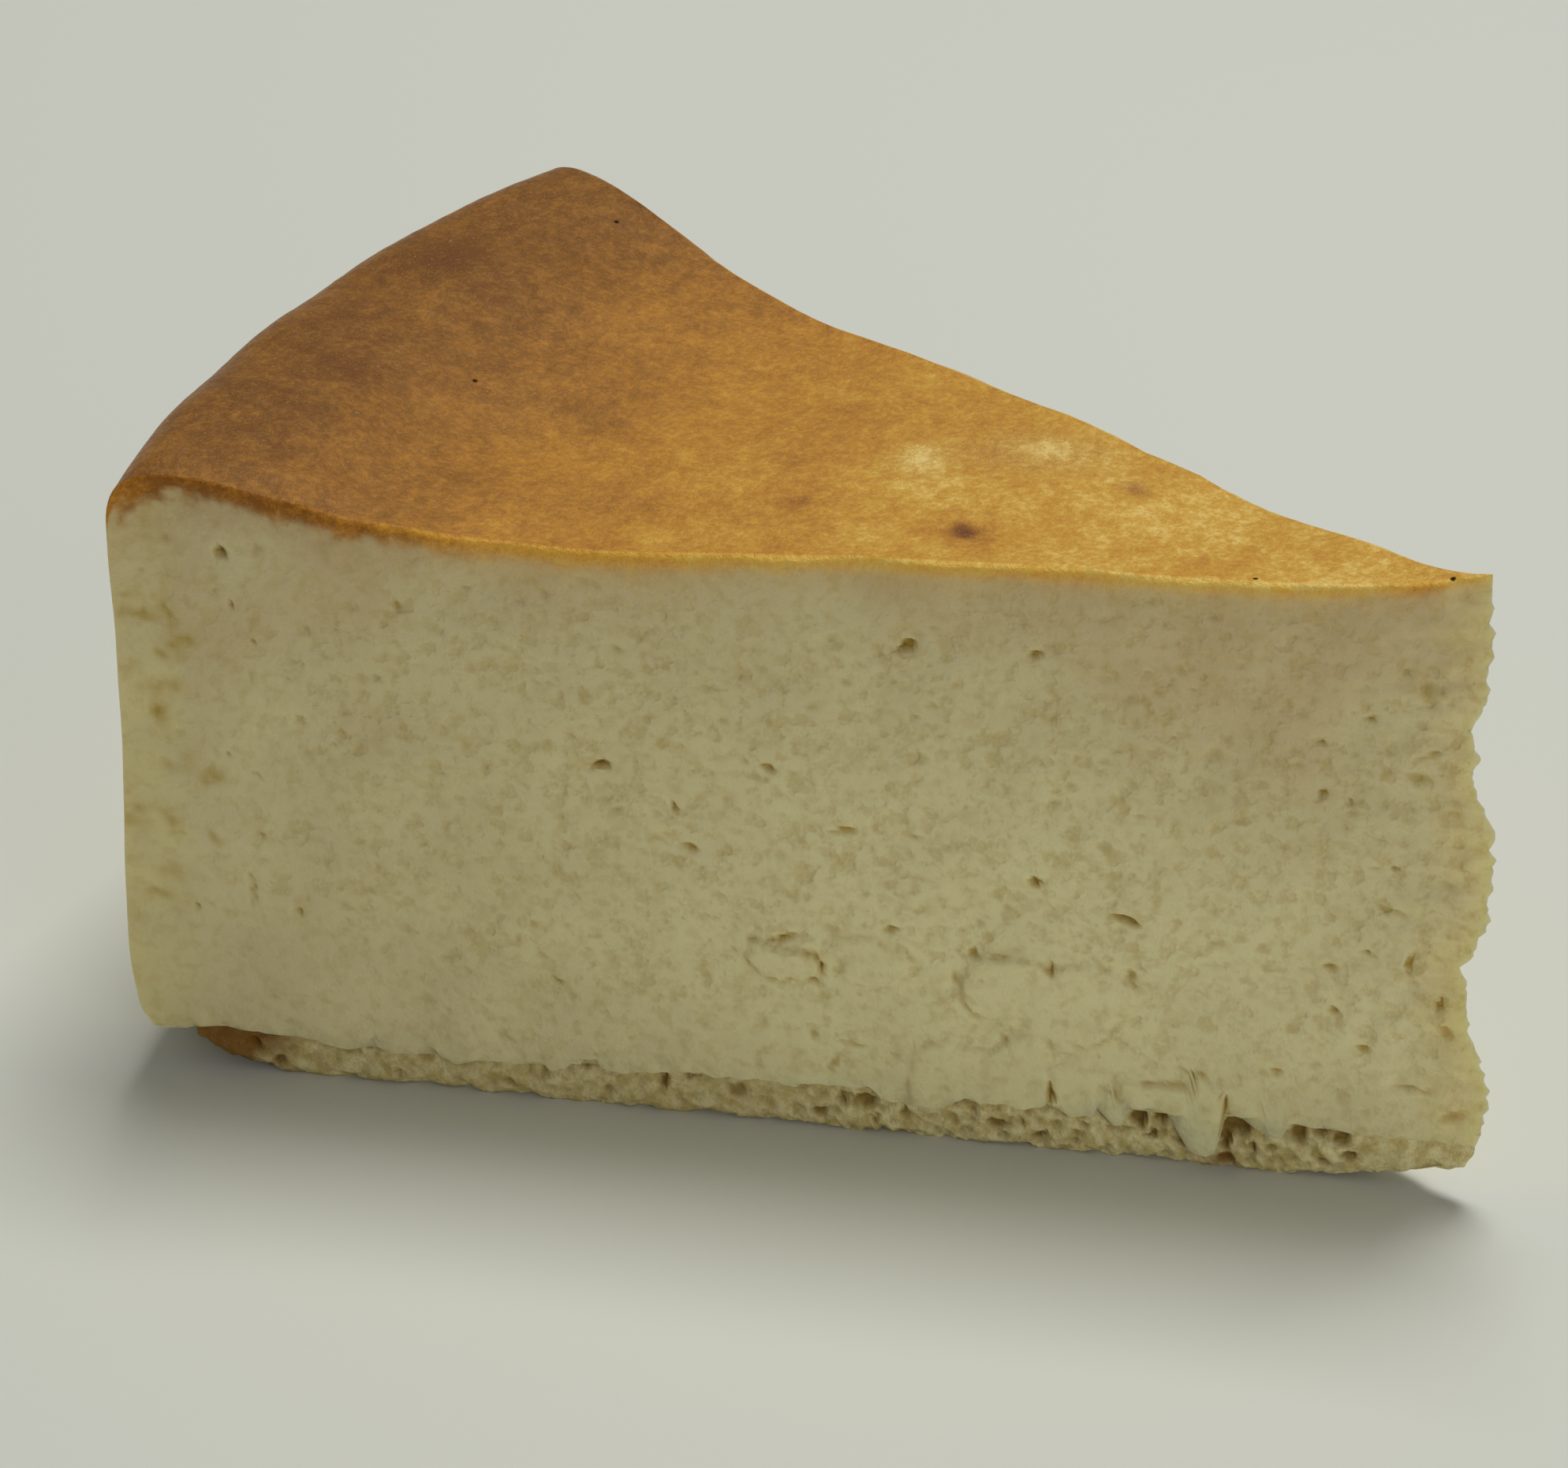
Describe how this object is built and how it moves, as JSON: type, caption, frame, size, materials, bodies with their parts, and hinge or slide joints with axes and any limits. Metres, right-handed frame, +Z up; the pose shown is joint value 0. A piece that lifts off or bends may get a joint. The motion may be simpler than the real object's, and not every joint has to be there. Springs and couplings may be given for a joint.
{
  "type": "baked cheesecake slice",
  "caption": "Wedge of baked cheesecake with a sunk browned top, a pale filling cut open on both sides and a thin sponge base under it.",
  "frame": {"origin": "middle of the slice's box, on the surface it stands on", "axes": "+X along the middle of the slice towards its tip, +Z up; the cut face that the picture shows is on the -Y side"},
  "size_m": [0.1172, 0.071, 0.0594],
  "materials": {
    "baked_filling": "matt cream filling with a satin brown baked skin on top",
    "sponge": "dry open crumb"
  },
  "bodies": {
    "root": {"filling": "baked_filling", "sponge_base": "sponge"}
  },
  "joints": []
}
